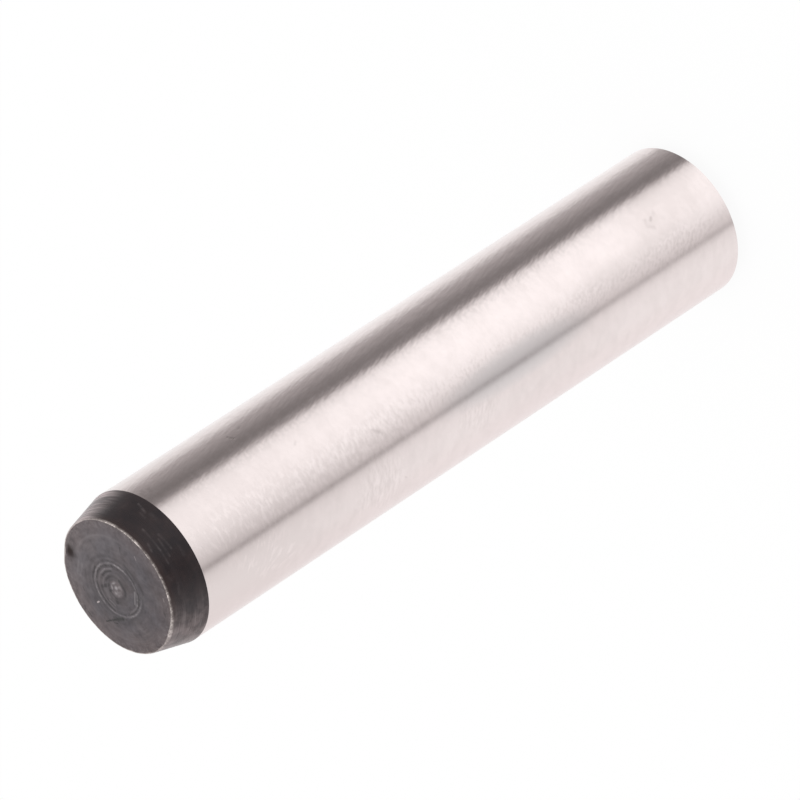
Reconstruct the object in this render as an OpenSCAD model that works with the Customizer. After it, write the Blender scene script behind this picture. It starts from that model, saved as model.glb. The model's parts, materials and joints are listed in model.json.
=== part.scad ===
// Hardened and ground dowel pin, turned from one bar: a tapered lead at one end and
// a shallow crown at the other. Millimetres, +Z along the axis.
// The pin stands on the flat land of its crown, lead end up, with the origin at the
// centre of that land.

/* [Shank] */
// Ground diameter of the shank
shank_d = 10; // [5:0.1:25]
// Overall length, from the land of the crown to the face of the lead
overall_length = 50; // [20:0.5:150]

/* [Lead end] */
// Length of the tapered lead along the axis
lead_length = 2.44; // [0.5:0.02:6]
// Angle between the wall of the lead and the axis, in degrees
lead_angle = 14; // [5:0.5:20]

/* [Crowned end] */
// Height of the crown along the axis
crown_height = 0.8; // [0.2:0.05:1.2]
// Radial width of the crown, from the edge of the shank in to the flat land
crown_width = 1.75; // [1:0.05:2]

/* [Finish] */
// Colour of the ground shank
ground_colour = "silver"; // [silver, lightgrey, gainsboro]
// Colour of the two black ends, left as turned and hardened
black_colour = "dimgray"; // [dimgray, darkslategray, black]

/* [Hidden] */

$fn = 96;

shank_r = shank_d / 2;

// The lead narrows from the shank to the flat face at its tip
lead_face_r = shank_r - lead_length * tan(lead_angle);
lead_base_z = overall_length - lead_length;

// The crown is a zone of a sphere that is centred on the axis and passes through the
// edge of the land and the edge of the shank
land_r = shank_r - crown_width;
crown_centre_z = (pow(shank_r, 2) + pow(crown_height, 2) - pow(land_r, 2)) / (2 * crown_height);
crown_sphere_r = norm([land_r, crown_centre_z]);

// Length of the crown at the full width of the shank, where the two meet
crown_edge = 0.05;

// How far the crown's cutter runs past the end of the bar
cutter_run_out = 1;

// What is turned away outside the crown, up to the widest circle of its sphere
module crown_cutter() {
    difference() {
        translate([0, 0, -cutter_run_out]) {
            cylinder(h = crown_centre_z + cutter_run_out, r = 2 * crown_sphere_r);
        }
        translate([0, 0, crown_centre_z]) sphere(r = crown_sphere_r);
    }
}

// The crown with its flat land, left black as turned
module crown() {
    difference() {
        cylinder(h = crown_height + crown_edge, r = shank_r);
        crown_cutter();
    }
}

// The ground cylinder between the two black ends
module shank() {
    translate([0, 0, crown_height + crown_edge]) {
        cylinder(h = lead_base_z - crown_height - crown_edge, r = shank_r);
    }
}

// The taper that guides the pin into its hole, with the flat face at its tip
module lead() {
    translate([0, 0, lead_base_z]) cylinder(h = lead_length, r1 = shank_r, r2 = lead_face_r);
}

module dowel_pin() {
    color(black_colour) crown();
    color(ground_colour) shank();
    color(black_colour) lead();
}

dowel_pin();
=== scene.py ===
"""A dowel pin: one piece of hardened steel with a ground shank and blackened, turned ends.

It stands on its crowned end, lead end up. Sizes are in millimetres, and MM turns them into metres.
Angles round the pin are counted from the camera's side, -Y, towards +X.
"""
import json
import math

import bpy
import numpy as np
from mathutils import Matrix, Vector, noise


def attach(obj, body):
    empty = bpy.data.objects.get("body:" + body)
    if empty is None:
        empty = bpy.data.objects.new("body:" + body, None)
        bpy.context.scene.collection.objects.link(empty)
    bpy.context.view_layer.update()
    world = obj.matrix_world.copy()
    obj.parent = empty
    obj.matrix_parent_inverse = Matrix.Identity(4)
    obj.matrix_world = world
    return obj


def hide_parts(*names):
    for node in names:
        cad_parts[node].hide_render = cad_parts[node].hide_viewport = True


MM = 0.001
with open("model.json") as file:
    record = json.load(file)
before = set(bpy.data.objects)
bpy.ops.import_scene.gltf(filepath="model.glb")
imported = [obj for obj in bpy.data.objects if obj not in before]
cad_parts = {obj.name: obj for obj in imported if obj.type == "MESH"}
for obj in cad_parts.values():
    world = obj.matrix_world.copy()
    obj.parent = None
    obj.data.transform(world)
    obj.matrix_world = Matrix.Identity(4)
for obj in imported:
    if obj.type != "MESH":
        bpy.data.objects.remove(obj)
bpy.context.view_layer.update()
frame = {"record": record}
scene = bpy.context.scene

# Sizes of the pin, from the frame
mounts = {mount["name"]: mount for mount in frame["record"]["mounts"]}
shank_mount = mounts["shank"]
SHANK_R = shank_mount["dims"]["r_mm"]
SHANK_MIDDLE = shank_mount["pos_m"][2] / MM
SHANK_HALF = shank_mount["dims"]["length_mm"] / 2
CROWN_TOP = SHANK_MIDDLE - SHANK_HALF
LEAD_BASE = SHANK_MIDDLE + SHANK_HALF
TIP = mounts["lead_face"]["pos_m"][2] / MM
# Sizes that the frame doesn't state
LEAD_SLOPE = math.tan(math.radians(14))
LAND_R = 3.25
# The faced end lies this far below the crest of its lip
LIP = 0.03
FACE_Z = TIP - LIP
FACE_R = SHANK_R - (TIP - LEAD_BASE) * LEAD_SLOPE

# The photograph's camera
IMAGE = 800
SENSOR = 36.0
FOCAL_PIXELS = 6711.2
CAMERA_ELEVATION = math.radians(35.89)
CAMERA_ROLL = math.radians(-123.156)
# Where the middle of the lead's base shows, in pixels, and how far off it is
BASE_PIXEL = (146.82, 567.43)
BASE_DEPTH = 387.64
# The nearest and the farthest that it sees, in metres
CLIP_START = 0.01
CLIP_END = 20.0


def make_camera():
    camera = bpy.data.objects.new("camera", bpy.data.cameras.new("camera"))
    scene.collection.objects.link(camera)
    camera.data.sensor_width = SENSOR
    camera.data.lens = FOCAL_PIXELS / IMAGE * SENSOR
    camera.data.clip_start = CLIP_START
    camera.data.clip_end = CLIP_END
    level = Matrix.Rotation(math.pi / 2 - CAMERA_ELEVATION, 3, "X")
    turned = level @ Matrix.Rotation(CAMERA_ROLL, 3, "Z")
    right, up, back = turned.col
    aside = (BASE_PIXEL[0] - IMAGE / 2) / FOCAL_PIXELS * BASE_DEPTH
    below = (BASE_PIXEL[1] - IMAGE / 2) / FOCAL_PIXELS * BASE_DEPTH
    place = Vector((0, 0, LEAD_BASE)) - aside * right + below * up + BASE_DEPTH * back
    camera.matrix_world = Matrix.Translation(place * MM) @ turned.to_4x4()
    scene.camera = camera


def new_tree(owner):
    owner.use_nodes = True
    owner.node_tree.nodes.clear()
    return owner.node_tree


def put(tree, kind, inputs=None, **settings):
    """Adds a node. An input is a socket to link, or a value to set."""
    node = tree.nodes.new("ShaderNode" + kind)
    for name, value in settings.items():
        setattr(node, name, value)
    for name, value in (inputs or {}).items():
        socket = node.inputs[name]
        if isinstance(value, bpy.types.NodeSocket):
            tree.links.new(value, socket)
        else:
            socket.default_value = value
    return node


def calc(tree, operation, *values):
    return put(tree, "Math", dict(enumerate(values)), operation=operation).outputs[0]


def joined(tree, operation, values):
    """All the values joined by one operation, from the first one on."""
    result = values[0]
    for value in values[1:]:
        result = calc(tree, operation, result, value)
    return result


def times(tree, *values):
    return joined(tree, "MULTIPLY", values)


def total(tree, *values):
    return joined(tree, "ADD", values)


def highest(tree, *values):
    return joined(tree, "MAXIMUM", values)


def spread(tree, value, low, high, start=0.0, end=1.0, kind="LINEAR"):
    """Maps value from low..high to start..end, and holds it there outside."""
    ranges = {"Value": value, 1: low, 2: high, 3: start, 4: end}
    return put(tree, "MapRange", ranges, interpolation_type=kind).outputs[0]


def blend(tree, factor, first, second):
    return put(tree, "Mix", {0: factor, 6: first, 7: second}, data_type="RGBA").outputs[2]


def ramp(tree, value, stops):
    """The colours of stops, a list of (value, colour), joined by straight lines."""
    low, high = stops[0][0], stops[-1][0]
    node = put(tree, "ValToRGB", {0: spread(tree, value, low, high)})
    marks = node.color_ramp.elements
    for index, (at, colour) in enumerate(stops):
        where = (at - low) / (high - low)
        if index < 2:
            marks[index].position = where
        else:
            marks.new(where)
        marks[index].color = (*colour, 1)
    return node.outputs[0]


def angle_round(tree, x, y):
    """The angle round the pin's axis."""
    return calc(tree, "ARCTAN2", x, calc(tree, "MULTIPLY", y, -1.0))


def cloud(tree, place, size, detail, roughness, stretch=(1, 1, 1)):
    """Noise of about 0 to 1 with spots of the given size, longer by stretch on each axis."""
    scale = [1 / (size * MM * by) for by in stretch]
    scaled = put(tree, "Mapping", {"Vector": place, "Scale": scale}).outputs[0]
    inputs = {"Vector": scaled, "Scale": 1.0, "Detail": detail, "Roughness": roughness}
    return put(tree, "TexNoise", inputs).outputs[0]


def near_line(tree, place, start, end, width):
    """1 on the line from start to end, falling to 0 at width from it."""
    start, end = Vector(start) * MM, Vector(end) * MM
    length = (end - start).length
    heading = (end - start) / length
    offset = put(tree, "VectorMath", {0: place, 1: start}, operation="SUBTRACT").outputs[0]
    ahead = put(tree, "VectorMath", {0: offset, 1: heading}, operation="DOT_PRODUCT")
    held = spread(tree, ahead.outputs["Value"], 0.0, length, 0.0, length)
    foot = put(tree, "VectorMath", {0: heading, "Scale": held}, operation="SCALE").outputs[0]
    off = put(tree, "VectorMath", {0: offset, 1: foot}, operation="DISTANCE").outputs["Value"]
    return spread(tree, off, 0.0, width * MM, 1.0, 0.0, "SMOOTHSTEP")


def line_marks(tree, place, locate, rows):
    """The strongest mark at a place. A row has both ends of a line, half its width and its amount."""
    marks = None
    for *ends, width, amount in rows:
        line = near_line(tree, place, locate(*ends[:2]), locate(*ends[2:]), width)
        mark = times(tree, line, amount)
        marks = mark if marks is None else highest(tree, marks, mark)
    return marks


def on_side(r, degrees, z):
    angle = math.radians(degrees)
    return r * math.sin(angle), -r * math.cos(angle), z


def on_shank(degrees, z):
    return on_side(SHANK_R, degrees, z)


def lead_r(z):
    return SHANK_R - (z - LEAD_BASE) * LEAD_SLOPE


def on_lead(degrees, z):
    return on_side(lead_r(z), degrees, z)


def on_face(x, y):
    return x, y, FACE_Z


def attribute(tree, name):
    """A value that the mesh has at each of its points."""
    return put(tree, "Attribute", attribute_name=name).outputs["Fac"]


def bumped(tree, height):
    """The normal of a surface with this height in millimetres."""
    return put(tree, "Bump", {"Height": height, "Distance": MM, "Strength": 1.0}).outputs[0]


def surface(tree, inputs):
    shader = put(tree, "BsdfPrincipled", inputs)
    put(tree, "OutputMaterial", {"Surface": shader.outputs[0]})


# What the shank mirrors, from low down round the studio: angle and how bright it is there
LOW_PANELS = [
    (-180, 0.95), (-162, 0.93), (-140, 0.915), (-92, 0.938), (-72, 0.92), (-58, 0.863),
    (-52, 0.773), (-48.5, 0.59), (-46, 0.45), (-43.5, 0.435), (-41, 0.59), (-37, 0.68),
    (-32, 0.746), (-20, 0.895), (-8, 1.02), (4, 1.10), (24, 1.15), (46, 1.10), (55, 0.973),
    (60, 0.84), (64, 0.606), (67, 0.386), (71, 0.27), (78, 0.212), (88, 0.257), (96, 0.327),
    (112, 0.442), (119, 0.56), (129, 0.87), (140, 0.94), (165, 1.02), (180, 0.99),
]
# What the black lead mirrors, from nearly level with it, and the shank where it is seen from lower down
LEVEL_PANELS = [
    (-180, 0.45), (-174, 0.50), (-164, 1.0), (-140, 1.1), (-110, 1.1), (-90, 1.05), (-73, 0.97),
    (-55, 0.74), (-37, 0.45), (-18, 0.37), (0, 0.54), (18, 0.76), (37, 0.76), (55, 0.65),
    (73, 0.62), (92, 0.56), (110, 0.70), (128, 0.85), (145, 1.0), (158, 0.98), (168, 0.60),
    (174, 0.48), (180, 0.45),
]
# The heights, as the Z of a direction, between which the level panels and then the sky take over
LEVEL_HEIGHTS = (-0.42, -0.28)
SKY_HEIGHTS = (0.05, 0.35)
# The dark panel is wider higher up: its middle, how far from it this holds and is gone, two heights,
# and how much farther from the middle an angle counts at both
DARK_MIDDLE = math.radians(85)
DARK_REACH = math.radians(35), math.radians(75)
DARK_HEIGHTS = (-0.64, -0.585)
DARK_STRETCH = (0.15, -0.125)
# Its other edge is uneven, by this much each way, all of it from this angle on, and how often
UNEVEN = math.radians(-16), math.radians(16)
UNEVEN_FROM = math.radians(115)
UNEVEN_SCALE = 75.0
# The thin dark gap between two panels closes lower down: its middle, how far from it the fill is whole
# and is gone, the heights between which it closes, how much of it is filled, and the fill's colour
GAP_MIDDLE = math.radians(-40)
GAP_REACH = math.radians(4), math.radians(14)
GAP_HEIGHTS = (-0.605, -0.64)
GAP_FILLED = 0.55
GAP_COLOUR = (0.81, 0.79, 0.79, 1)
# How much less green and blue a dark panel has, and how much the one behind on the left has
WARMTH = 0.065
BLUSH = 0.035
BLUSH_END = -130
WHITE = (1, 1, 1, 1)


def panel_stops(panels):
    stops = []
    for angle, level in panels:
        blush = BLUSH if angle < BLUSH_END else 0
        cooler = level * (1 - blush - WARMTH * max(0, 1 - level))
        stops.append((math.radians(angle), (level, cooler, cooler)))
    return stops


def low_panels(tree, angle, z):
    """The panels low in the studio, with the edges of the dark one and the gap that closes."""
    off_dark = calc(tree, "SUBTRACT", angle, DARK_MIDDLE)
    stretched = spread(tree, z, *DARK_HEIGHTS, *DARK_STRETCH)
    reached = spread(tree, calc(tree, "ABSOLUTE", off_dark), *DARK_REACH, 1.0, 0.0)
    shift = times(tree, calc(tree, "MINIMUM", off_dark, 0.0), stretched, reached)
    waves = put(tree, "TexNoise", {"W": z, "Scale": UNEVEN_SCALE}, noise_dimensions="1D").outputs[0]
    uneven = spread(tree, waves, 0.25, 0.75, *UNEVEN)
    uneven = times(tree, uneven, spread(tree, angle, DARK_MIDDLE, UNEVEN_FROM))
    panels = ramp(tree, total(tree, angle, shift, uneven), panel_stops(LOW_PANELS))
    off_gap = calc(tree, "ABSOLUTE", calc(tree, "SUBTRACT", angle, GAP_MIDDLE))
    closing = spread(tree, z, *GAP_HEIGHTS, 0.0, GAP_FILLED)
    filled = times(tree, spread(tree, off_gap, *GAP_REACH, 1.0, 0.0), closing)
    return blend(tree, filled, panels, GAP_COLOUR)


def make_world():
    """A white studio. Only reflections show its panels."""
    world = bpy.data.worlds.new("studio")
    scene.world = world
    tree = new_tree(world)
    x, y, z = put(tree, "SeparateXYZ", {0: put(tree, "TexCoord").outputs["Generated"]}).outputs
    angle = angle_round(tree, x, y)
    low = low_panels(tree, angle, z)
    level = ramp(tree, angle, panel_stops(LEVEL_PANELS))
    raised = spread(tree, z, *LEVEL_HEIGHTS)
    panels = put(tree, "Background", {"Color": blend(tree, raised, low, level)})
    sky = put(tree, "Background", {"Color": WHITE})
    above = spread(tree, z, *SKY_HEIGHTS)
    mirrored = put(tree, "MixShader", {0: above, 1: panels.outputs[0], 2: sky.outputs[0]})
    glossy = put(tree, "LightPath").outputs["Is Glossy Ray"]
    shown = put(tree, "MixShader", {0: glossy, 1: sky.outputs[0], 2: mirrored.outputs[0]})
    put(tree, "OutputWorld", {"Surface": shown.outputs[0]})


# The floor's size in metres, how far below the pin it lies, and how much of its white is its own light
FLOOR_SIZE = 4.0
FLOOR_DROP = 0.01
FLOOR_GLOW = 0.94
FLOOR_SHADE = (1 - FLOOR_GLOW, 1 - FLOOR_GLOW, 1 - FLOOR_GLOW, 1)
# The floor's colour as it lights the pin
FLOOR_GREY = (0.8, 0.8, 0.8, 1)


def floor_material():
    """White with the pin's shadow where it is seen, and plain grey for the light that it returns."""
    material = bpy.data.materials.new("floor")
    tree = new_tree(material)
    dim = put(tree, "BsdfDiffuse", {"Color": FLOOR_SHADE})
    glow = put(tree, "Emission", {"Color": WHITE, "Strength": FLOOR_GLOW})
    white = put(tree, "AddShader", {0: dim.outputs[0], 1: glow.outputs[0]})
    plain = put(tree, "BsdfDiffuse", {"Color": FLOOR_GREY})
    path = put(tree, "LightPath").outputs
    seen = highest(tree, path["Is Glossy Ray"], path["Is Transmission Ray"], path["Is Camera Ray"])
    shown = put(tree, "MixShader", {0: seen, 1: plain.outputs[0], 2: white.outputs[0]})
    put(tree, "OutputMaterial", {"Surface": shown.outputs[0]})
    return material


def make_floor():
    half = FLOOR_SIZE / 2
    mesh = bpy.data.meshes.new("floor")
    corners = [(-half, -half, 0), (half, -half, 0), (half, half, 0), (-half, half, 0)]
    mesh.from_pydata(corners, [], [(0, 1, 2, 3)])
    mesh.materials.append(floor_material())
    floor = bpy.data.objects.new("floor", mesh)
    floor.location.z = -FLOOR_DROP * MM
    scene.collection.objects.link(floor)
    # The shank mirrors the studio's panels, and not the floor
    floor.visible_glossy = False


STEEL = (0.905, 0.818, 0.806, 1)
# Duller steel, also the colour of the painted shade towards the lead
DULL_STEEL_AND_SHADE = (0.80, 0.72, 0.707, 1)
BLUE_HAZE = (0.76, 0.716, 0.714, 1)
# Darker colour in the shank's knocks
SHANK_KNOCK_DARK = (0.30, 0.26, 0.25, 1)
# Noise in the steel: the size of its spots, its detail and roughness, and how they stretch on each axis
FLECKS = (0.27, 2.0, 0.55, (1.5, 1.5, 1))
GRIND_LINES = (0.045, 2.0, 0.6, (80, 80, 1))
PATCHES = (3.1, 2.0, 0.55)
WAVES = (1.0, 2.0, 0.5)
HAZE = (0.9, 2.0, 0.5, (1.5, 1.5, 1))
# How high the flecks, lines and waves stand, and how deep a knock is that is fully dark
FLECK_HEIGHT = 0.010
GRIND_HEIGHT = 0.0015
WAVE_HEIGHT = 0.004
KNOCK_DEPTH = 0.012
# The angles to both sides, in radians, between which the flecks of the shank's back come up
BACK_ANGLES = (1.3, 1.9)
# The heights between which the steel gets duller, up to the lead: painted shade
SHADE_TOWARDS_LEAD_HEIGHTS = 25 * MM, LEAD_BASE * MM
# Knocks on the shank: the angle and height of both ends, half the width, and how dark it is
KNOCKS = [
    (12.5, 6.00, 7.5, 6.70, 0.60, 0.06),
    (13.8, 5.84, 12.6, 5.98, 0.26, 0.11),
    (12.0, 6.22, 10.4, 6.38, 0.20, 0.30),
    (12.6, 6.72, 8.6, 6.88, 0.25, 0.14),
    (7.6, 6.84, 5.0, 6.50, 0.25, 0.14),
    (-5.4, 32.40, -8.2, 32.20, 0.15, 0.15),
    (-7.8, 32.16, -9.2, 32.06, 0.19, 0.22),
    (-9.0, 32.00, -11.6, 31.86, 0.14, 0.12),
    (48.9, 40.08, 46.4, 40.06, 0.13, 0.45),
    (46.4, 40.06, 44.6, 39.98, 0.15, 0.60),
    (51.4, 38.9, 49.8, 39.1, 0.16, 0.22),
    (47.8, 46.72, 45.6, 46.80, 0.26, 0.22),
    (50.0, 47.10, 47.2, 47.14, 0.22, 0.20),
    (47.4, 47.36, 44.6, 47.40, 0.26, 0.24),
    (16.2, 37.3, 14.6, 37.5, 0.14, 0.12),
    (-50.6, 30.95, -52.2, 30.8, 0.10, 0.14),
]
# Hazy places on the shank: the angle and height, how far it reaches in both, and how dull it is
HAZY = [
    (-40, 18.5, 34, 8, 0.30),
    (-5, 9.5, 11, 6.5, 0.45),
    (13, 5.0, 22, 5, 0.75),
    (27, 3.5, 12, 4.5, 0.60),
    (-45, 40.5, 32, 8, 0.12),
]
# A bluish one, in the same way
BLUISH = (-21.5, 20.5, 16, 8, 1.0)
# Groups of the wheel's strokes, in the same way, then how much they lean, how wide and how long they are
STROKES = [
    (-8, 42, 19, 9, 0.60, 0.0, 0.26, 0.50),
    (-9, 32, 17, 8, 0.60, 0.0, 0.28, 0.50),
    (-12, 23, 13, 7, 0.60, 0.5, 0.22, 0.35),
    (-13, 15, 13, 6, 0.55, 0.8, 0.22, 0.32),
    (-14, 6, 13, 7, 0.55, 1.0, 0.20, 0.34),
    (-45, 33.0, 25, 2.6, 0.50, 0.1, 0.24, 0.70),
    (-36, 43.0, 16, 2.8, 0.48, 0.5, 0.22, 0.70),
    (-50, 41.5, 16, 2.6, 0.45, 1.6, 0.22, 0.70),
    (-37, 24.5, 16, 2.2, 0.45, 0.3, 0.24, 0.55),
    (27, 41, 6, 10, 0.46, 0.3, 0.24, 0.38),
    (27, 20, 5, 16, 0.38, 0.3, 0.24, 0.38),
]
# The dark side, in the same way with the height of its strokes, then how these lean, their width and length
DARK_SIDE = (75, 24, 58, 60, 0.0030)
DARK_STROKES = (2.4, 0.30, 0.85)


def hazy_place(tree, angle, up, middle, z, wide, high, amount):
    """The amount at the middle of a place on the shank, falling to 0 at its edge."""
    aside = calc(tree, "SUBTRACT", angle, math.radians(middle))
    aside = calc(tree, "DIVIDE", aside, math.radians(wide))
    above = calc(tree, "DIVIDE", calc(tree, "SUBTRACT", up, z * MM), high * MM)
    off = total(tree, times(tree, aside, aside), times(tree, above, above))
    return spread(tree, off, 0.0, 1.0, amount, 0.0, "SMOOTHSTEP")


def stroke_noise(tree, unrolled, lean, width, length):
    """Noise from about -1 to 1 in strokes round the shank that lean along it."""
    turn = (0, 0, -math.atan(lean))
    size = (length * MM, width * MM, MM)
    inputs = {"Vector": unrolled, "Rotation": turn, "Scale": size}
    place = put(tree, "Mapping", inputs, vector_type="TEXTURE").outputs[0]
    inputs = {"Vector": place, "Scale": 1.0, "Detail": 1.5, "Roughness": 0.5}
    wave = put(tree, "TexNoise", inputs, noise_dimensions="2D").outputs[0]
    return spread(tree, wave, 0.30, 0.70, -1.0, 1.0)


def wheel_strokes(tree, unrolled, angle, up):
    """Short strokes of the wheel in groups, from below 0 where they are bright to above it."""
    strokes = None
    for row in STROKES:
        wave = stroke_noise(tree, unrolled, *row[5:])
        group = times(tree, wave, hazy_place(tree, angle, up, *row[:5]))
        strokes = group if strokes is None else total(tree, strokes, group)
    return strokes


def dullness_and_shade(tree, place, angle, up, flecks, worked, strokes):
    """How dull the steel is, from haze, flecks and strokes and in hazy places, with painted shade towards the
    lead.
    """
    haze = cloud(tree, place, *HAZE)
    return total(
        tree,
        spread(tree, haze, 0.42, 0.75, 0.03, 0.45),
        times(tree, spread(tree, flecks, 0.36, 0.64), worked, 0.75),
        times(tree, strokes, 0.85),
        # Painted shade: duller towards the lead
        spread(tree, up, *SHADE_TOWARDS_LEAD_HEIGHTS, 0.0, 0.9),
        *[hazy_place(tree, angle, up, *row) for row in HAZY],
    )


def ground_steel():
    """Bright steel with short strokes of the grinding wheel round the pin, and a few knocks."""
    material = bpy.data.materials.new("ground_steel")
    tree = new_tree(material)
    place = put(tree, "TexCoord").outputs["Object"]
    x, y, up = put(tree, "SeparateXYZ", {0: place}).outputs
    angle = angle_round(tree, x, y)
    unrolled = put(tree, "CombineXYZ", {0: times(tree, angle, SHANK_R * MM), 1: up}).outputs[0]
    strokes = wheel_strokes(tree, unrolled, angle, up)
    flecks = cloud(tree, place, *FLECKS)
    lines = cloud(tree, place, *GRIND_LINES)
    patches = cloud(tree, place, *PATCHES)
    behind = spread(tree, calc(tree, "ABSOLUTE", angle), *BACK_ANGLES, 0.15, 0.9)
    worked = times(tree, behind, spread(tree, patches, 0.40, 0.60, 0.4, 1.0, "SMOOTHSTEP"))
    streaks = stroke_noise(tree, unrolled, *DARK_STROKES)
    dark_side = hazy_place(tree, angle, up, *DARK_SIDE)
    waves = cloud(tree, place, *WAVES)
    knocks = line_marks(tree, place, on_shank, KNOCKS)
    height = total(
        tree,
        times(tree, flecks, worked, FLECK_HEIGHT),
        times(tree, streaks, dark_side),
        times(tree, lines, GRIND_HEIGHT),
        times(tree, waves, WAVE_HEIGHT),
        times(tree, knocks, -KNOCK_DEPTH),
    )
    rough = total(tree, spread(tree, flecks, 0.35, 0.65, 0.13, 0.19), times(tree, knocks, 0.25))
    dull_and_shade = dullness_and_shade(tree, place, angle, up, flecks, worked, strokes)
    # Duller steel, with painted shade towards the lead
    colour = blend(tree, dull_and_shade, STEEL, DULL_STEEL_AND_SHADE)
    colour = blend(tree, hazy_place(tree, angle, up, *BLUISH), colour, BLUE_HAZE)
    # Darker in the knocks
    colour = blend(tree, knocks, colour, SHANK_KNOCK_DARK)
    inputs = {
        "Base Color": colour,
        "Metallic": 1.0,
        "Roughness": rough,
        "Anisotropic": 0.6,
        "Anisotropic Rotation": 0.25,
        "Tangent": put(tree, "Tangent", direction_type="RADIAL", axis="Z").outputs[0],
        "Normal": bumped(tree, height),
    }
    surface(tree, inputs)
    return material


BLACK = (0.0095, 0.0072, 0.0088, 1)
BROWN_BLACK = (0.020, 0.0122, 0.0125, 1)
LIP_BROWN = (0.030, 0.015, 0.012, 1)
# Browner where the lead is rubbed, partly a painted warm sheen
RUBBED_BROWN_AND_WARM_SHEEN = (0.060, 0.034, 0.034, 1)
# Bare steel where the oxide is worn thin, also the colour of the painted sheen at the lead's sides
WORN_STEEL_AND_SHEEN = (0.56, 0.495, 0.49, 1)
LIP_STEEL = (0.78, 0.70, 0.665, 1)
OXIDE_TINT = (1.0, 0.91, 0.93, 1)
# Noise in the oxide, with the same values as in the steel
STREAKS = (0.28, 3.0, 0.60, (12, 12, 1))
SCORES = (0.14, 3.0, 0.60, (24, 24, 1))
BLOTCHES = (0.9, 3.0, 0.6)
TURNED_LINES = (0.08, 2.0, 0.6, (30, 30, 1))
RAGGED = (0.2, 2.0, 0.5)
LIP_GRAIN = (0.11, 3.0, 0.6)
# How high the turned lines and the blotches stand
TURNED_HEIGHT = 0.006
BLOTCH_HEIGHT = 0.012
# The angles between which the rubbing and a painted sheen come up at the left and at the right
SHEEN_AND_RUB_LEFT = math.radians(-26), math.radians(-72)
SHEEN_AND_RUB_RIGHT = math.radians(56), math.radians(84)
# The angles to both sides between which the rubbing and the painted sheen end, and the bare lip gets less
# broken
SHEEN_AND_RUB_ENDS = math.radians(90), math.radians(150)
LIP_WHOLE = math.radians(75), math.radians(105)
# The heights between which the oxide gets browner, up to the lip
BROWNER_HEIGHTS = (TIP - 0.45) * MM, (TIP - 0.1) * MM
# Scuffs on the lead: the angle and height of both ends, half the width, and how bare it is
LEAD_SCUFFS = [
    (-6, 49.18, 8, 49.15, 0.10, 0.05),
    (5, 49.16, 25, 49.12, 0.11, 0.09),
    (2, 48.56, 15, 48.66, 0.12, 0.06),
    (-2, 48.90, 12, 48.84, 0.12, 0.05),
    (8, 49.60, 14, 49.50, 0.12, 0.07),
    (-6, 48.12, 30, 48.10, 0.22, 0.035),
    (31, 48.50, 36, 48.42, 0.14, 0.04),
    (34, 48.24, 38, 48.14, 0.13, 0.10),
    (38, 48.14, 43, 48.02, 0.11, 0.08),
    (-30, 49.30, -22, 49.20, 0.16, 0.03),
]


def sheen_and_rubbed_sides(tree, angle, turned):
    """How far the lead is rubbed, with a painted sheen, at the left and at the right. Its hidden back has
    neither.
    """
    left = spread(tree, angle, *SHEEN_AND_RUB_LEFT, 0.0, 1.0, "SMOOTHSTEP")
    right = spread(tree, angle, *SHEEN_AND_RUB_RIGHT, 0.0, 1.0, "SMOOTHSTEP")
    sheen_and_rub = spread(tree, turned, *SHEEN_AND_RUB_ENDS, 1.0, 0.0)
    return times(tree, left, sheen_and_rub), times(tree, right, sheen_and_rub)


def thinned_and_sheen(tree, place, streaks, blotches, left, right):
    """How thin the oxide is at the rubbed sides, partly a painted sheen: in streaks, blotches and fine
    scores.
    """
    streaky = spread(tree, streaks, 0.46, 0.62, 0.0, 1.0, "SMOOTHSTEP")
    blotchy = spread(tree, blotches, 0.42, 0.60, 0.0, 1.0, "SMOOTHSTEP")
    scored = spread(tree, cloud(tree, place, *SCORES), 0.42, 0.64, 0.0, 1.0, "SMOOTHSTEP")
    thin_and_sheen_left = total(tree, times(tree, streaky, 0.13), times(tree, blotchy, 0.11), 0.02)
    thin_and_sheen_right = total(tree, times(tree, streaky, 0.44), times(tree, scored, 0.42), 0.12)
    return highest(tree, times(tree, left, thin_and_sheen_left), times(tree, right, thin_and_sheen_right))


def lead_scuffs(tree, place, blotches):
    """Scuffs on the lead, faint in its blotches and stronger along a few lines."""
    faint = spread(tree, blotches, 0.58, 0.78, 0.0, 0.03, "SMOOTHSTEP")
    ragged = spread(tree, cloud(tree, place, *RAGGED), 0.35, 0.6, 0.3, 1.0)
    lines = line_marks(tree, place, on_lead, LEAD_SCUFFS)
    return highest(tree, faint, times(tree, lines, ragged))


def bare_lip(tree, place, turned):
    """How bare the lip is, broken by a fine grain."""
    whole = spread(tree, turned, *LIP_WHOLE, 0.35, 0.85)
    grain = spread(tree, cloud(tree, place, *LIP_GRAIN), 0.36, 0.62, whole, 1.15)
    return times(tree, attribute(tree, "bare"), grain)


def lead_oxide(tree, up, blotches, grazed_and_sheen):
    """The oxide's colour: browner in blotches, near the lip, and where it is rubbed, partly a painted warm
    sheen.
    """
    oxide = blend(tree, spread(tree, blotches, 0.35, 0.65), BLACK, BROWN_BLACK)
    near_lip = spread(tree, up, *BROWNER_HEIGHTS, 0.0, 0.7)
    oxide = blend(tree, near_lip, oxide, LIP_BROWN)
    browned_and_warm_sheen = times(tree, grazed_and_sheen, spread(tree, blotches, 0.35, 0.6, 0.5, 1.0))
    return blend(tree, browned_and_warm_sheen, oxide, RUBBED_BROWN_AND_WARM_SHEEN)


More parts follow.
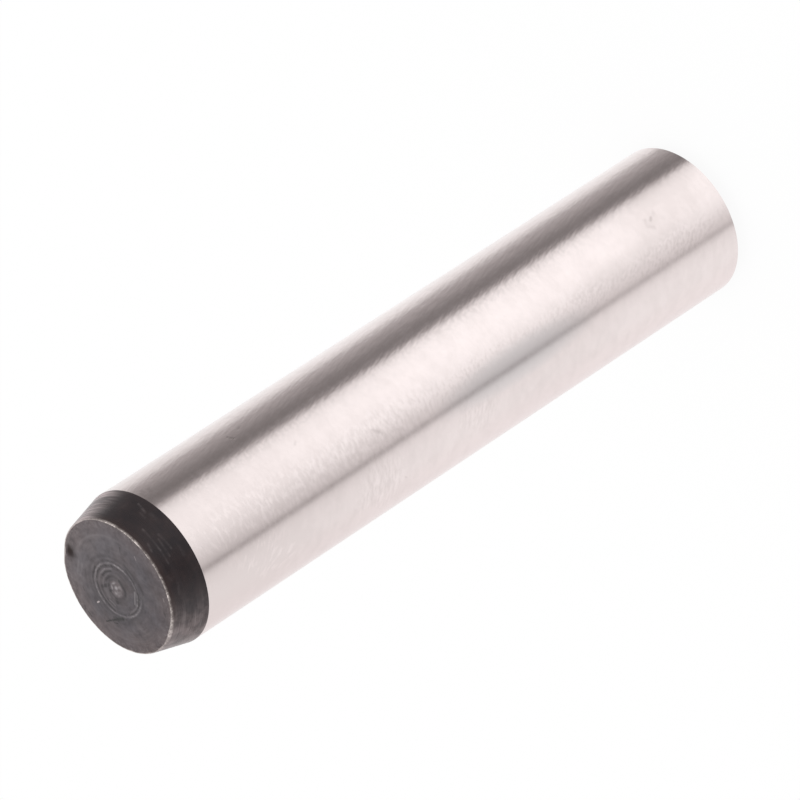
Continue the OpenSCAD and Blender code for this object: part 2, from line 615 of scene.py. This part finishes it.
def black_lead():
    """Black oxide over turned steel: it is rubbed thin in streaks, with a painted sheen at its sides, and
    bare along the lip.
    """
    material = bpy.data.materials.new("black_lead")
    tree = new_tree(material)
    place = put(tree, "TexCoord").outputs["Object"]
    x, y, up = put(tree, "SeparateXYZ", {0: place}).outputs
    angle = angle_round(tree, x, y)
    turned = calc(tree, "ABSOLUTE", angle)
    streaks = cloud(tree, place, *STREAKS)
    blotches = cloud(tree, place, *BLOTCHES)
    fine = cloud(tree, place, *TURNED_LINES)
    # Painted sheen and rubbed oxide at the lead's sides
    left, right = sheen_and_rubbed_sides(tree, angle, turned)
    thin_and_sheen = thinned_and_sheen(tree, place, streaks, blotches, left, right)
    faded_and_sheen = total(tree, thin_and_sheen, lead_scuffs(tree, place, blotches))
    bare = bare_lip(tree, place, turned)
    # The sides with the painted sheen and the rubbing
    grazed_and_sheen = highest(tree, times(tree, left, left), right)
    colour = blend(tree, faded_and_sheen, lead_oxide(tree, up, blotches, grazed_and_sheen), WORN_STEEL_AND_SHEEN)
    colour = blend(tree, bare, colour, LIP_STEEL)
    shine = spread(tree, streaks, 0.42, 0.60, -0.20, 0.05)
    height = total(tree, times(tree, fine, TURNED_HEIGHT), times(tree, blotches, BLOTCH_HEIGHT))
    inputs = {
        "Base Color": colour,
        "Metallic": highest(tree, faded_and_sheen, bare),
        "Roughness": spread(tree, streaks, 0.35, 0.65, 0.24, 0.38),
        "Specular IOR Level": total(tree, times(tree, grazed_and_sheen, shine), 0.5),
        "Specular Tint": OXIDE_TINT,
        "Normal": bumped(tree, height),
    }
    surface(tree, inputs)
    return material


FACE_GREY = (0.0585, 0.0478, 0.0580, 1)
FACE_BROWN = (0.084, 0.0615, 0.064, 1)
# Pale oxide, also the colour of the painted light and highlights on the face
FACE_PALE_AND_LIGHT = (0.30, 0.272, 0.28, 1)
# Dark oxide, also the colour of the painted shade on the face
FACE_DARK_AND_SHADE = (0.027, 0.0195, 0.0225, 1)
RIM_BROWN = (0.108, 0.067, 0.062, 1)
# Darker colour in the knock at the face's edge
FACE_KNOCK_DARK = (0.019, 0.0105, 0.009, 1)
SCRATCH = (0.010, 0.007, 0.007, 1)
# Noise on the face, with the same values as in the steel
TONES = (1.9, 2.0, 0.5)
MOTTLE = (0.58, 4.0, 0.60)
SWEEPS = (0.16, 3.0, 0.6, (1, 8, 1))
SPECKS = (0.19, 3.0, 0.6)
# How high the mottling stands, and how deep the scratches are
MOTTLE_HEIGHT = 0.008
SCRATCH_DEPTH = 0.03
# The way in which the face gets paler with painted light, and how far from the middle to both sides
PAINTED_LIGHT_WAY = (0.85, 0.53, 0)
PAINTED_LIGHT_REACH = 4 * MM
# How far out each of these begins and is whole: the brown rim, the tool's sweeps, scuffs, and dirt with
# painted shade
RIM_FROM = 2.9 * MM, 4.4 * MM
SWEEPS_FROM = 2.0 * MM, 2.6 * MM
SCUFFS_FROM = 3.7 * MM, 4.25 * MM
DIRT_AND_SHADE_FROM = 3.5 * MM, 4.1 * MM
# How far out the sweeps have their full length
SWEEPS_R = 3.2 * MM
# Dark scratches and faint dark marks on the face: both ends, half the width, how dark it is
FACE_SCRATCHES = [
    (-1.33, 2.95, -1.50, 2.20, 0.10, 0.9),
    (-1.48, 2.30, -1.60, 1.80, 0.15, 1.0),
    (-1.58, 1.85, -1.74, 1.36, 0.23, 1.0),
    (-1.78, 2.10, -1.66, 2.34, 0.08, 0.55),
    (-1.42, 1.86, -1.36, 2.06, 0.08, 0.45),
    (-0.60, 3.98, -0.30, 4.02, 0.12, 0.55),
    (-0.05, 4.06, 0.10, 4.00, 0.10, 0.40),
    (-2.95, -2.50, -2.80, -2.62, 0.12, 0.45),
    (1.62, -2.28, 1.80, -2.42, 0.12, 0.40),
    (0.88, 3.10, 1.04, 3.06, 0.12, 0.40),
]
# Broad places on the face that are a little darker, and paler, in the same way
FACE_DIM = [
    (-0.9, 2.6, 0.4, 2.2, 1.5, 0.16),
    (-1.7, -3.1, -0.7, -3.4, 1.3, 0.22),
    (-3.3, -1.9, -2.6, -2.6, 1.0, 0.10),
]
FACE_LIT = [
    (2.3, 2.6, 2.6, 1.6, 1.2, 0.08),
    (2.4, -1.8, 2.6, -0.6, 1.3, 0.08),
]
# Bright nicks in the face, in the same way
FACE_NICKS = [
    (-0.14, 2.50, -0.13, 2.68, 0.08, 1.0),
    (0.68, -3.12, 0.92, -3.20, 0.05, 0.35),
    (-2.2, -3.2, -2.0, -3.3, 0.05, 0.30),
]


def face_oxide(tree, place, out, tones, mottle):
    """The face's colour: mottled, browner at the rim, and paler towards one side with painted light."""
    painted_light = put(tree, "VectorMath", {0: place, 1: PAINTED_LIGHT_WAY}, operation="DOT_PRODUCT").outputs["Value"]
    colour = blend(tree, spread(tree, tones, 0.36, 0.66), FACE_GREY, FACE_BROWN)
    colour = blend(tree, spread(tree, out, *RIM_FROM, 0.0, 0.42), colour, RIM_BROWN)
    # Painted light: paler towards one side
    colour = blend(tree, spread(tree, painted_light, -PAINTED_LIGHT_REACH, PAINTED_LIGHT_REACH, 0.0, 0.14), colour, FACE_PALE_AND_LIGHT)
    colour = blend(tree, spread(tree, mottle, 0.50, 0.72, 0.0, 0.50), colour, FACE_DARK_AND_SHADE)
    colour = blend(tree, spread(tree, mottle, 0.46, 0.28, 0.0, 0.12), colour, FACE_PALE_AND_LIGHT)
    colour = blend(tree, line_marks(tree, place, on_face, FACE_DIM), colour, FACE_DARK_AND_SHADE)
    return blend(tree, line_marks(tree, place, on_face, FACE_LIT), colour, FACE_PALE_AND_LIGHT)


def add_sweeps(tree, colour, x, y, out, tones):
    """Faint sweeps of the tool round the face, outside its last turn."""
    along = times(tree, angle_round(tree, x, y), SWEEPS_R)
    swept = put(tree, "CombineXYZ", {0: out, 1: along}).outputs[0]
    sweeps = cloud(tree, swept, *SWEEPS)
    here = times(tree, spread(tree, out, *SWEEPS_FROM), spread(tree, tones, 0.40, 0.62, 0.15, 1.0))
    darker = times(tree, spread(tree, sweeps, 0.52, 0.68, 0.0, 0.34), here)
    paler = times(tree, spread(tree, sweeps, 0.46, 0.32, 0.0, 0.12), here)
    colour = blend(tree, darker, colour, FACE_DARK_AND_SHADE)
    return blend(tree, paler, colour, FACE_PALE_AND_LIGHT)


def add_edge_wear(tree, colour, place, out):
    """Pale scuffs towards the edge of the face, and dark specks of dirt with painted shade just inside the
    lip.
    """
    specks = cloud(tree, place, *SPECKS)
    scuffed = times(tree, spread(tree, specks, 0.52, 0.70), spread(tree, out, *SCUFFS_FROM))
    colour = blend(tree, times(tree, scuffed, 0.30), colour, FACE_PALE_AND_LIGHT)
    # Dirt with painted shade just inside the lip
    dirt_and_shade = times(tree, spread(tree, specks, 0.48, 0.32), spread(tree, out, *DIRT_AND_SHADE_FROM))
    return blend(tree, times(tree, dirt_and_shade, 0.40), colour, FACE_DARK_AND_SHADE)


def turned_face():
    """Grey oxide on the faced end, paler on the crests that the tool left, partly wear and partly painted
    highlight, and darker in its grooves with painted shade.
    """
    material = bpy.data.materials.new("turned_face")
    tree = new_tree(material)
    place = put(tree, "TexCoord").outputs["Object"]
    x, y, _ = put(tree, "SeparateXYZ", {0: place}).outputs
    out = calc(tree, "SQRT", total(tree, times(tree, x, x), times(tree, y, y)))
    tones = cloud(tree, place, *TONES)
    mottle = cloud(tree, place, *MOTTLE)
    knock_dark = attribute(tree, "knock_dark")
    scratches = line_marks(tree, place, on_face, FACE_SCRATCHES)
    nicks = line_marks(tree, place, on_face, FACE_NICKS)
    colour = face_oxide(tree, place, out, tones, mottle)
    colour = add_sweeps(tree, colour, x, y, out, tones)
    colour = add_edge_wear(tree, colour, place, out)
    # Painted shade in the grooves, with darker marks
    colour = blend(tree, attribute(tree, "darker_and_shade"), colour, FACE_DARK_AND_SHADE)
    # Paler crests, partly wear and partly painted highlight
    colour = blend(tree, attribute(tree, "paler_and_highlight"), colour, FACE_PALE_AND_LIGHT)
    colour = blend(tree, scratches, colour, SCRATCH)
    # Darker in the knock at the face's edge
    colour = blend(tree, knock_dark, colour, FACE_KNOCK_DARK)
    colour = blend(tree, nicks, colour, WORN_STEEL_AND_SHEEN)
    height = total(tree, times(tree, mottle, MOTTLE_HEIGHT), times(tree, scratches, -SCRATCH_DEPTH))
    inputs = {
        "Base Color": colour,
        "Metallic": times(tree, nicks, 0.8),
        "Roughness": spread(tree, mottle, 0.35, 0.65, 0.42, 0.55),
        "Specular IOR Level": spread(tree, knock_dark, 0.0, 1.0, 0.5, 0.1),
        "Normal": bumped(tree, height),
    }
    surface(tree, inputs)
    return material


# The materials by their place in the mesh's list
GROUND, BLACKENED, FACED = 0, 1, 2
# How many points a ring has, and how many rings each part has
SEGMENTS = 320
LAND_RINGS = 40
CROWN_RINGS = 14
SHANK_RINGS = 48
LEAD_RINGS = 32
FACE_RINGS = 34
TURNS = np.linspace(0, 2 * math.pi, SEGMENTS, endpoint=False)
ONES = np.ones(SEGMENTS)

# The middle of the turning, and how far the tool went outwards each turn
TURNING = (-0.10, 0.23)
FEED = 0.34
# How high the tool's marks stand on the face and on the land, and how far the land's keep from its edge
FEED_HEIGHT = 0.006
LAND_HEIGHT = 0.004
LAND_EDGE = 0.12
# How far below the tip the lead's turning lines end, their mean depth, and how much that differs
LINES_END = 0.16
LINE_DEPTH = 0.004
LINE_DIFFERS = 0.006
# The width of the lip, the least that it can be, and how much wider it is: the angle, to both sides, how much
LIP_WIDTH = 0.085
LIP_LEAST = 0.03
LIP_WIDER = (-62, 16, 0.10)
# Where the lip is worn bright: the angle, how far to both sides, and how much
LIP_WEAR = [
    (-68, 8, 0.20), (-52, 9, 0.30), (-40, 3, 0.45), (-28.5, 3.5, 0.8), (-14, 6, 0.15), (-3, 2.5, 0.40),
    (8, 4, 0.25), (18, 6, 0.50), (33, 4, 0.50), (44, 5, 0.50), (52, 5, 0.30),
]
# How bare the lip is at least, at each angle
LIP_BARE = (
    [-180, -100, -72, -55, 0, 50, 66, 95, 180],
    [0.55, 0.50, 0.40, 0.42, 0.42, 0.45, 0.40, 0.50, 0.55],
)
# The dent in the lip beside the knock: the angle, how far to both sides, and how deep
LIP_DENT = (127, 7, 0.10)
# The pip that the tool left in the middle, and its bright spot: the middle and half the size
PIP_R = 0.52
PIP_HEIGHT = 0.012
PIP_SPOT = (-0.03, 0.19)
PIP_SPOT_HALF = (0.11, 0.12)
# The tool's last turn, which shows most: the angle from +X, how far out it is and how much it shows
LAST_TURN = [
    (-180, 1.60, 0), (-160, 1.64, 0.45), (-140, 1.68, 0.8), (-120, 1.71, 0.55), (-100, 1.72, 0.5),
    (-60, 1.71, 0.6), (-38, 1.71, 1.2), (-20, 1.71, 0.5), (0, 1.71, 0.7), (45, 1.76, 0.55),
    (90, 1.80, 0.7), (110, 1.81, 0.5), (135, 1.82, 0.35), (160, 1.83, 0.6), (180, 1.84, 0.7),
    (200, 1.90, 0.6), (220, 1.98, 0.6), (245, 2.10, 0),
]
LAST_ANGLE, LAST_OUT, LAST_SHOWN = zip(*LAST_TURN)
# Half the width of its crest, and of the grooves beside it, and how far off these are
LAST_CREST = 0.06
LAST_GROOVE = 0.08
LAST_ASIDE = 0.14
# Strokes on the face, from the middle of the turning: both ends, half the width, paler or darker
FACE_STROKES = [
    (-0.68, 0.68, -0.50, 0.60, 0.17, -1.0),
    (0.60, 1.10, 0.47, 0.42, 0.15, -1.0),
    (0.12, 0.68, 0.11, 0.42, 0.10, -1.0),
    (-0.28, -0.62, 0.30, -0.66, 0.14, -0.8),
    (-0.62, -0.40, -0.40, -0.60, 0.10, -0.5),
    (-1.00, 1.36, -0.50, 1.53, 0.10, -0.75),
    (-0.50, 1.53, 0.20, 1.58, 0.09, -0.65),
    (0.20, 1.58, 0.85, 1.36, 0.09, -0.5),
    (-0.62, 1.18, -0.18, 1.36, 0.08, -0.5),
    (-0.70, 0.92, -0.30, 1.06, 0.08, -0.45),
    (0.78, 0.40, 0.84, -0.10, 0.06, -0.45),
    (1.13, 0.44, 1.20, 0.00, 0.09, -0.7),
    (1.20, 0.00, 1.06, -0.54, 0.09, -0.8),
    (-1.40, -0.98, -0.95, -1.55, 0.15, -1.0),
    (-0.95, -1.55, -0.45, -1.74, 0.10, -0.5),
    (-0.25, -1.86, 0.60, -1.88, 0.11, -0.7),
    (-1.10, -2.02, -0.50, -2.22, 0.14, -0.6),
    (0.20, -2.16, 0.90, -2.06, 0.14, -0.45),
    (1.50, 1.08, 1.78, 0.60, 0.11, -0.7),
    (1.30, 1.45, 1.56, 1.10, 0.10, -0.4),
    (-0.75, 1.06, -0.30, 1.24, 0.09, 0.20),
    (-0.14, 1.04, 0.34, 0.88, 0.18, 0.17),
    (1.30, 0.46, 1.37, -0.10, 0.08, 0.22),
    (1.37, -0.10, 1.16, -0.70, 0.08, 0.24),
    (0.98, 0.30, 1.02, -0.20, 0.07, 0.14),
    (-1.55, -0.55, -1.62, 0.20, 0.09, 0.16),
    (-1.32, -0.74, -0.72, -1.40, 0.10, 0.42),
    (0.66, -1.56, 1.28, -1.14, 0.10, 0.22),
    (2.05, 2.55, 2.60, 1.70, 0.10, 0.16),
    (1.80, 2.40, 2.30, 1.60, 0.09, 0.14),
]
# How strongly the turning shows at each distance from its middle
FEED_MARKS = (
    [0.0, 0.5, 0.65, 1.4, 1.58, 1.9, 2.1, 2.4, 4.4],
    [0, 0, 0.26, 0.22, 0.2, 0.2, 0.14, 0.08, 0.05],
)
# How much darker it is there
FEED_SHADE = (
    [0.0, 0.50, 0.62, 0.85, 1.1, 1.5, 1.9, 2.15, 2.5, 4.4],
    [0, 0, 0.56, 0.46, 0.26, 0.26, 0.18, 0.38, 0.08, 0],
)
# Worn arcs on the face: how far out, half the width, the angle, how far to both sides, and how much
WORN_ARCS = [
    (3.34, 0.08, 72, 36, 0.20),
    (3.60, 0.10, -122, 24, 0.14),
]
# How worn the face is at each distance from the axis
RIM_WEAR = ([3.75, 4.2], [0, 0.05])
# The knock at the edge of the face, away from the camera: its middle, its heading, half its size, its depth
EDGE_KNOCK = (3.22, 2.22)
EDGE_KNOCK_HEADING = (0.80, -0.60)
EDGE_KNOCK_HALF = (0.54, 0.46)
EDGE_KNOCK_DEPTH = 0.08
# The face's rings lie closer inside this distance from the middle, at this spacing, down to the last one
CLOSE_R = 2.10
CLOSE_STEP = 0.033
CLOSE_END = 0.03
# How far in from the edge of the face its own rings begin, and where they meet the closer ones
LIP_INSIDE = 0.32
WIDE_END = 2.16


def wobble(x, y, often, layer):
    """Smooth noise from about -1 to 1. Each layer has a pattern of its own."""
    return noise.noise(Vector((x * often, y * often, layer)))


def bell(off, width):
    """1 in the middle, falling off to both sides of it."""
    return math.exp(-((off / width) ** 2))


def hump(angle, middle, side):
    """1 at the middle angle, falling off to both sides of it, in degrees."""
    return bell((math.degrees(angle) - middle + 180) % 360 - 180, side)


def ring_points(r, z, centre=(0, 0)):
    """Points round the pin at a radius and height that can differ round it."""
    x = centre[0] + r * np.sin(TURNS)
    y = centre[1] - r * np.cos(TURNS)
    return np.stack([x, y, z * ONES], axis=-1)


def end_rings():
    """The land that the pin stands on, and the crown round it."""
    crown_centre = (SHANK_R**2 + CROWN_TOP**2 - LAND_R**2) / (2 * CROWN_TOP)
    crown_r = math.hypot(LAND_R, crown_centre)
    rings = []
    for r in np.linspace(LAND_EDGE, LAND_R - LAND_EDGE, LAND_RINGS):
        rise = LAND_HEIGHT * (1 - math.cos(2 * math.pi * r / FEED))
        rings.append((ring_points(r * ONES, rise), FACED))
    rings.append((ring_points(LAND_R * ONES, 0.0), FACED))
    for z in np.linspace(0, CROWN_TOP, CROWN_RINGS)[1:]:
        r = math.sqrt(crown_r**2 - (crown_centre - z) ** 2)
        rings.append((ring_points(r * ONES, z), BLACKENED))
    return rings


def shank_rings():
    heights = np.linspace(CROWN_TOP, LEAD_BASE, SHANK_RINGS)[1:]
    return [(ring_points(SHANK_R * ONES, z), GROUND) for z in heights]


def lip_shape():
    """The width of the lip, how bare it is and how deep it is dented, round the pin."""
    width, bare, dent = [], [], []
    for angle in TURNS:
        x, y = 3 * math.sin(angle), 3 * math.cos(angle)
        rough = wobble(x, y, 2, 2.0) + 0.8 * wobble(x, y, 8, 5.0)
        width.append(LIP_WIDTH + LIP_WIDER[2] * hump(angle, *LIP_WIDER[:2]) + 0.03 * rough)
        worn = sum(amount * hump(angle, middle, side) for middle, side, amount in LIP_WEAR)
        turn = (math.degrees(angle) + 180) % 360 - 180
        bare.append(min(1.0, (np.interp(turn, *LIP_BARE) + worn) * max(0.3, 0.9 + 0.5 * rough)))
        dent.append(LIP_DENT[2] * hump(angle, *LIP_DENT[:2]))
    return np.maximum(width, LIP_LEAST), np.maximum(bare, 0.0), np.array(dent)


def lead_rings():
    """The tapered lead with its turning lines, up to the lip at its edge."""
    width, bare, dent = lip_shape()
    rings = []
    for z in np.linspace(LEAD_BASE, TIP - LINES_END, LEAD_RINGS)[1:]:
        depth = max(0, LINE_DEPTH + LINE_DIFFERS * noise.noise(Vector((z * 6.0, 0.5, 3.1))))
        rings.append((ring_points((lead_r(z) - depth) * ONES, z), BLACKENED))
    low = TIP - 0.02 - 0.7 * width
    edge = TIP - 0.014 - 0.3 * dent
    # The lip's outline from the lead to the face: each ring's radius and height
    outline = [
        (lead_r(low) - 0.004 - 0.4 * dent, low),
        (lead_r(edge) - 0.006 - 0.25 * width - dent, edge),
        (FACE_R - 0.012 - 0.45 * width - dent, TIP - 0.3 * dent),
        (FACE_R - 0.02 - 0.8 * width - dent, FACE_Z + 0.008),
    ]
    rings += [(ring_points(r, z), BLACKENED) for r, z in outline]
    return rings, bare


def turning(x, y):
    """The tool's spiral at a point of the face: its phase in turns, how far out it is, and where."""
    away_x, away_y = x - TURNING[0], y - TURNING[1]
    out = math.hypot(away_x, away_y)
    bearing = math.atan2(away_y, away_x)
    return out / FEED - bearing / (2 * math.pi), out, math.degrees(bearing)


def near_stroke(x, y, from_x, from_y, to_x, to_y, width):
    """1 on a line on the face, falling to 0 at width from it."""
    along_x, along_y = to_x - from_x, to_y - from_y
    ahead = ((x - from_x) * along_x + (y - from_y) * along_y) / (along_x**2 + along_y**2)
    ahead = min(1.0, max(0.0, ahead))
    off = math.hypot(x - from_x - ahead * along_x, y - from_y - ahead * along_y) / width
    return max(0.0, 1 - off**2) ** 2


def feed_marks(x, y, phase, out, degrees):
    """Height of the tool's spiral, how much paler its crests are, partly wear and partly painted highlight,
    and its painted shade in the grooves.
    """
    phase += 0.16 * wobble(x, y, 0.9, 7.0) + 0.10 * wobble(x, y, 2.6, 8.0)
    shown = np.interp(out, *FEED_MARKS) * (0.4 + 0.8 * hump(math.radians(degrees), 25, 80))
    wave = math.cos(2 * math.pi * phase)
    broken = min(1.1, max(0.1, 0.6 + 1.5 * wobble(x, y, 1.5, 1.0)))
    paler_and_highlight = shown * max(0.0, wave) ** 2 * broken * 0.55
    darker_and_shade = shown * max(0.0, -wave) * 1.2 * max(0.1, 0.6 + 1.3 * wobble(x, y, 1.7, 3.0))
    return FEED_HEIGHT * shown * wave, paler_and_highlight, darker_and_shade


def last_turn(x, y, out, degrees):
    """How much paler the crest of the tool's last turn is, partly wear and partly painted highlight, and its
    painted shade in the grooves beside it. The turn runs past where it began.
    """
    paler_and_highlight, darker_and_shade = 0.0, 0.0
    rough = max(0.12, 0.95 + 1.0 * wobble(x, y, 4, 2.0) + 1.2 * wobble(x, y, 9, 2.5))
    strayed = 0.05 * wobble(x, y, 6, 11.0)
    for bearing in (degrees, degrees + 360):
        shown = rough * np.interp(bearing, LAST_ANGLE, LAST_SHOWN, 0, 0)
        off = out - np.interp(bearing, LAST_ANGLE, LAST_OUT) + strayed
        paler_and_highlight += 0.42 * shown * bell(off, LAST_CREST)
        darker_and_shade += 0.66 * shown * bell(off + LAST_ASIDE, LAST_GROOVE)
        darker_and_shade += 0.38 * shown * bell(off - LAST_ASIDE, LAST_GROOVE)
    return paler_and_highlight, darker_and_shade


def stroke_marks(x, y):
    """How much paler and darker the strokes on the face make it."""
    paler_and_highlight, darker_and_shade = 0.0, 0.0
    for *line, amount in FACE_STROKES:
        mark = amount * near_stroke(x - TURNING[0], y - TURNING[1], *line)
        paler_and_highlight += max(0.0, mark)
        darker_and_shade += max(0.0, -mark)
    return paler_and_highlight, darker_and_shade


def pip_marks(x, y, out):
    """How much of the pip's height there is at a point, and how much paler it is there."""
    ragged = PIP_R + 0.16 * wobble(x, y, 3, 4.0)
    pip = min(1.0, max(0.0, (ragged - out) / 0.10))
    spot = bell(x - PIP_SPOT[0], PIP_SPOT_HALF[0]) * bell(y - PIP_SPOT[1], PIP_SPOT_HALF[1])
    edge = bell(out - 0.40, 0.13) * max(0.0, 0.3 + 1.4 * wobble(x, y, 4, 12.0))
    worn = pip * (0.09 + 0.60 * wobble(x, y, 5, 9.0) + 0.6 * edge)
    return pip, max(worn, 1.3 * spot)


def rim_wear(x, y):
    """Crest of the worn arcs and of the face's rim."""
    out, angle = math.hypot(x, y), math.atan2(x, -y)
    worn = [np.interp(out, *RIM_WEAR)]
    for arc_r, width, middle, side, amount in WORN_ARCS:
        worn.append(amount * bell(out - arc_r, width) * hump(angle, middle, side))
    return max(worn)


def edge_knock(x, y):
    """How much of the knock's depth there is at a point. Its border is ragged."""
    x_off, y_off = x - EDGE_KNOCK[0], y - EDGE_KNOCK[1]
    ahead_x, ahead_y = EDGE_KNOCK_HEADING
    along = (x_off * ahead_x + y_off * ahead_y) / EDGE_KNOCK_HALF[0]
    aside = (y_off * ahead_x - x_off * ahead_y) / EDGE_KNOCK_HALF[1]
    ragged = 1 + 0.9 * wobble(x, y, 3.5, 6.0)
    return 0.95 * math.exp(-((along**2 + aside**2) ** 1.2) / ragged)


def face_detail(x, y):
    """Height, how much paler it is (partly painted highlight), how much darker (partly painted shade) and how
    dark the knock is, at a point of the face.
    """
    phase, out, degrees = turning(x, y)
    height, paler_and_highlight, darker_and_shade = feed_marks(x, y, phase, out, degrees)
    for more_paler_and_highlight, more_darker_and_shade in (last_turn(x, y, out, degrees), stroke_marks(x, y)):
        paler_and_highlight += more_paler_and_highlight
        darker_and_shade += more_darker_and_shade
    pip, pip_paler_and_highlight = pip_marks(x, y, out)
    knock = edge_knock(x, y)
    height += PIP_HEIGHT * pip - EDGE_KNOCK_DEPTH * knock
    paler_and_highlight = max(paler_and_highlight, pip_paler_and_highlight, rim_wear(x, y))
    darker_and_shade = min(1.0, darker_and_shade + np.interp(out, *FEED_SHADE))
    return height, paler_and_highlight, darker_and_shade, knock


def face_rings():
    """The faced end: its rings are round the middle of the turning, and round the axis at the lip."""
    close = np.arange(CLOSE_R, CLOSE_END, -CLOSE_STEP)
    wide = np.linspace(FACE_R - LIP_INSIDE, WIDE_END, FACE_RINGS)
    rings, details = [], []
    for r in np.concatenate([wide, close]):
        pull = 1 - (r / FACE_R) ** 2
        points = ring_points(r * ONES, FACE_Z, (TURNING[0] * pull, TURNING[1] * pull))
        seen = np.array([face_detail(x, y) for x, y, _ in points])
        points[:, 2] = np.minimum(points[:, 2] + seen[:, 0], TIP)
        rings.append((points, FACED))
        details.append(seen[:, 1:])
    return rings, details


# Where each part of the surface lies in the texture
MARGIN = 0.004
SIDE_WIDTH = 0.62
SHANK_TOP = 0.92
LEAD_LOW, LEAD_HIGH = 0.935, 0.99
DISC = 0.172
FACE_MIDDLE, END_MIDDLE = (0.815, 0.815), (0.815, 0.44)
# How much of the lip's bareness its rings have: how many rings before the face's, and the share
LIP_SHARES = [(1, 0.30), (2, 1.0), (3, 1.0), (4, 0.25)]
# The values that the face's material reads
FACE_VALUES = ("paler_and_highlight", "darker_and_shade", "knock_dark")
# An edge that bends by more than this is sharp
SHARP_ANGLE = math.radians(12)


def ring_start(ring):
    """The first point of a ring. The very first point is the middle of the land."""
    return 1 + ring * SEGMENTS


def texture_spot(point, ring, segment, band, starts):
    """Where a corner of a band of faces lies in the texture."""
    x, y, z = point
    shank_start, lead_start, face_start = starts
    if band < shank_start:
        return END_MIDDLE[0] - DISC * x / SHANK_R, END_MIDDLE[1] + DISC * y / SHANK_R
    if band >= face_start:
        return FACE_MIDDLE[0] + DISC * x / FACE_R, FACE_MIDDLE[1] + DISC * y / FACE_R
    u = MARGIN + SIDE_WIDTH * segment / SEGMENTS
    if band < lead_start:
        return u, MARGIN + SHANK_TOP * (z - CROWN_TOP) / (LEAD_BASE - CROWN_TOP)
    share = (ring - lead_start + 1) / (face_start - lead_start)
    return u, LEAD_LOW + (LEAD_HIGH - LEAD_LOW) * share


def join_rings(points, rings, starts):
    """The faces from ring to ring, their materials, and their corners in the texture.

    Starts has the first ring of the shank, of the lead and of the face.
    """
    faces, slots, corners = [], [], []

    def add(slot, band, *ends):
        faces.append([vertex for vertex, _ in ends])
        slots.append(slot)
        for vertex, segment in ends:
            ring = (vertex - 1) // SEGMENTS
            corners.append(texture_spot(points[vertex], ring, segment, band, starts))

    count = len(rings)
    last, tip = ring_start(count - 1), ring_start(count)
    for s in range(SEGMENTS):
        n = (s + 1) % SEGMENTS
        add(FACED, 0, (0, s), (1 + n, s + 1), (1 + s, s))
        for band in range(1, count):
            low, high = ring_start(band - 1), ring_start(band)
            add(rings[band][1], band, (low + s, s), (low + n, s + 1), (high + n, s + 1), (high + s, s))
        add(FACED, count, (last + s, s), (last + n, s + 1), (tip, s))
    return faces, slots, corners


def surface_values(size, face_start, bare, details):
    """What the materials read at each point: how bare the lip is, and the marks on the face."""
    values = {name: np.zeros(size) for name in ("bare", *FACE_VALUES)}
    for back, share in LIP_SHARES:
        first = ring_start(face_start - back)
        values["bare"][first:first + SEGMENTS] = share * bare
    for index, detail in enumerate(details):
        first = ring_start(face_start + index)
        for column, name in enumerate(FACE_VALUES):
            values[name][first:first + SEGMENTS] = detail[:, column]
    values["paler_and_highlight"][-1] = face_detail(*TURNING)[1]
    return values


def make_pin():
    """The rings from the land's middle up to the face's, joined into one surface."""
    ends, shank = end_rings(), shank_rings()
    lead, bare = lead_rings()
    face, details = face_rings()
    rings = ends + shank + lead + face
    lead_start = len(ends) + len(shank)
    face_start = lead_start + len(lead)
    tip = (*TURNING, FACE_Z + face_detail(*TURNING)[0])
    points = np.concatenate([[(0, 0, 0)]] + [ring for ring, _ in rings] + [[tip]])
    faces, slots, corners = join_rings(points, rings, (len(ends), lead_start, face_start))
    mesh = bpy.data.meshes.new("pin")
    mesh.from_pydata(points * MM, [], faces)
    mesh.polygons.foreach_set("material_index", slots)
    mesh.polygons.foreach_set("use_smooth", [True] * len(faces))
    mesh.set_sharp_from_angle(angle=SHARP_ANGLE)
    layer = mesh.uv_layers.new(name="OFBake")
    layer.uv.foreach_set("vector", np.array(corners).ravel())
    for name, amounts in surface_values(len(points), face_start, bare, details).items():
        mesh.attributes.new(name, "FLOAT", "POINT").data.foreach_set("value", amounts)
    for material in (ground_steel(), black_lead(), turned_face()):
        mesh.materials.append(material)
    pin = bpy.data.objects.new("pin", mesh)
    scene.collection.objects.link(pin)
    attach(pin, "root")
    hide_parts("dowel_pin")


scene.view_settings.view_transform = "Standard"
make_camera()
make_world()
make_floor()
make_pin()
